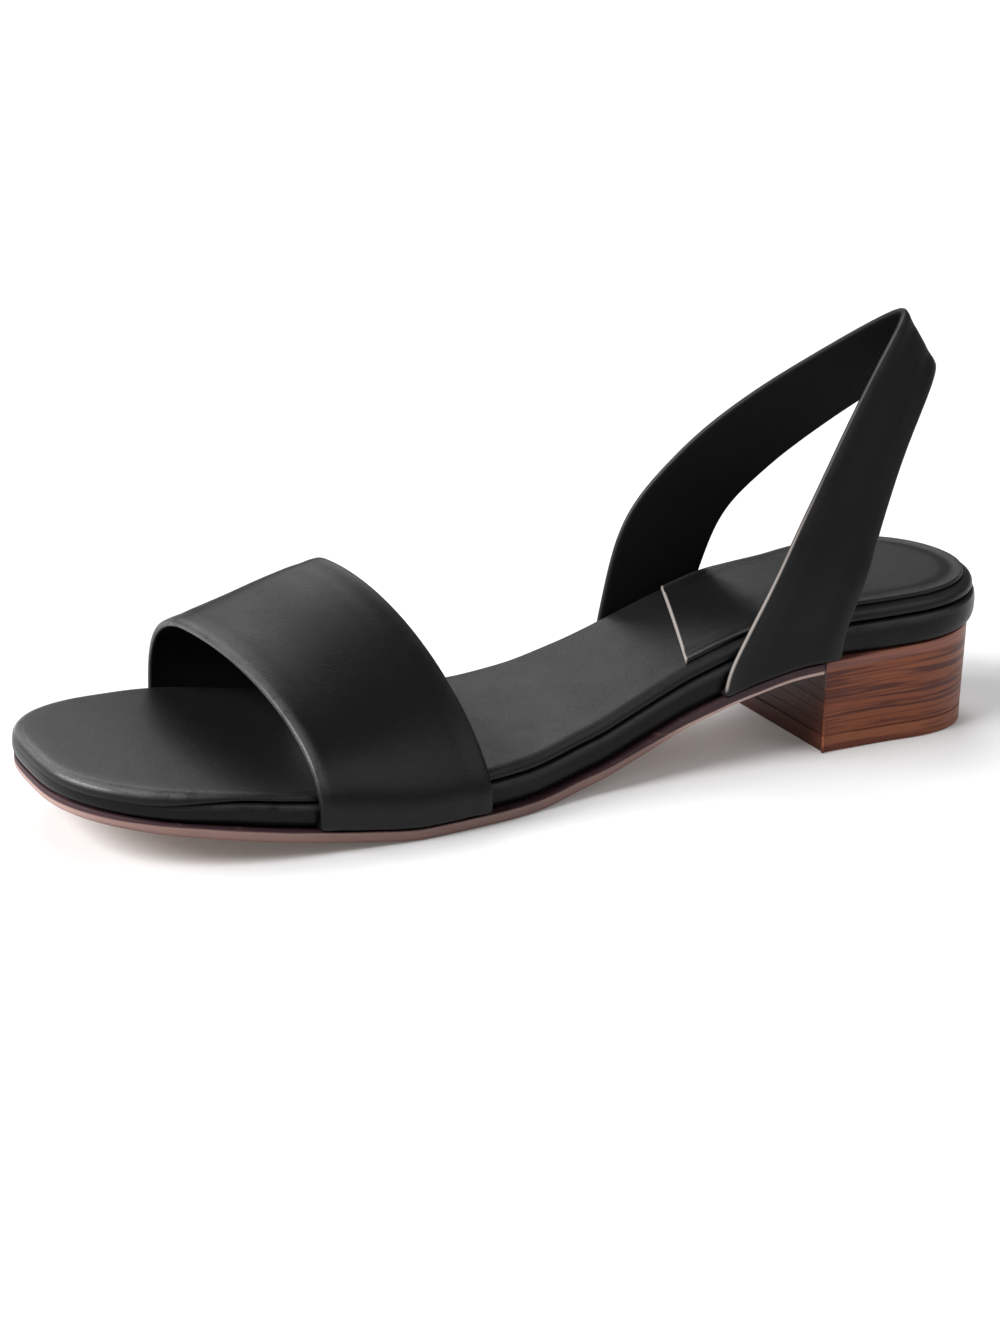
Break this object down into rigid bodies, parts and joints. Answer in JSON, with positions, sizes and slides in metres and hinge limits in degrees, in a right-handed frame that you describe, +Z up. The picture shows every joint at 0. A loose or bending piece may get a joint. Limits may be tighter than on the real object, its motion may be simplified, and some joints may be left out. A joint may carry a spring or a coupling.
{
  "type": "slingback sandal",
  "caption": "Open-toe slingback sandal for a left foot, with a wide band over the toes, a strap round the heel, a leather-wrapped footbed and a low stacked heel.",
  "frame": {"origin": "middle of the heel tip's floor face", "axes": "+X from the heel to the toe, +Y to the wearer's left, which is the outer side of this left shoe, +Z up from the floor"},
  "size_m": [0.2515, 0.0912, 0.1062],
  "materials": {
    "outsole_leather": "tan leather outsole with a smooth, dyed edge",
    "stacked_heel": "red-brown stacked layers with dark streaks, satin",
    "heel_tip_stack": "brown bottom lift, satin",
    "footbed_leather": "smooth black leather, semi-gloss",
    "cushion_leather": "smooth black leather over a thin cushion, satin",
    "heel_sock_leather": "smooth black padded sock leather, semi-gloss",
    "band_leather": "smooth black leather, semi-gloss, pale cut edge",
    "sling_leather": "smooth black leather, satin, pale cut edge"
  },
  "bodies": {
    "root": {"outsole": "outsole_leather", "heel_block": "stacked_heel", "heel_tip": "heel_tip_stack", "footbed": "footbed_leather", "insole_cushion": "cushion_leather", "heel_sock": "heel_sock_leather", "vamp_band": "band_leather", "sling_strap": "sling_leather"}
  },
  "joints": []
}
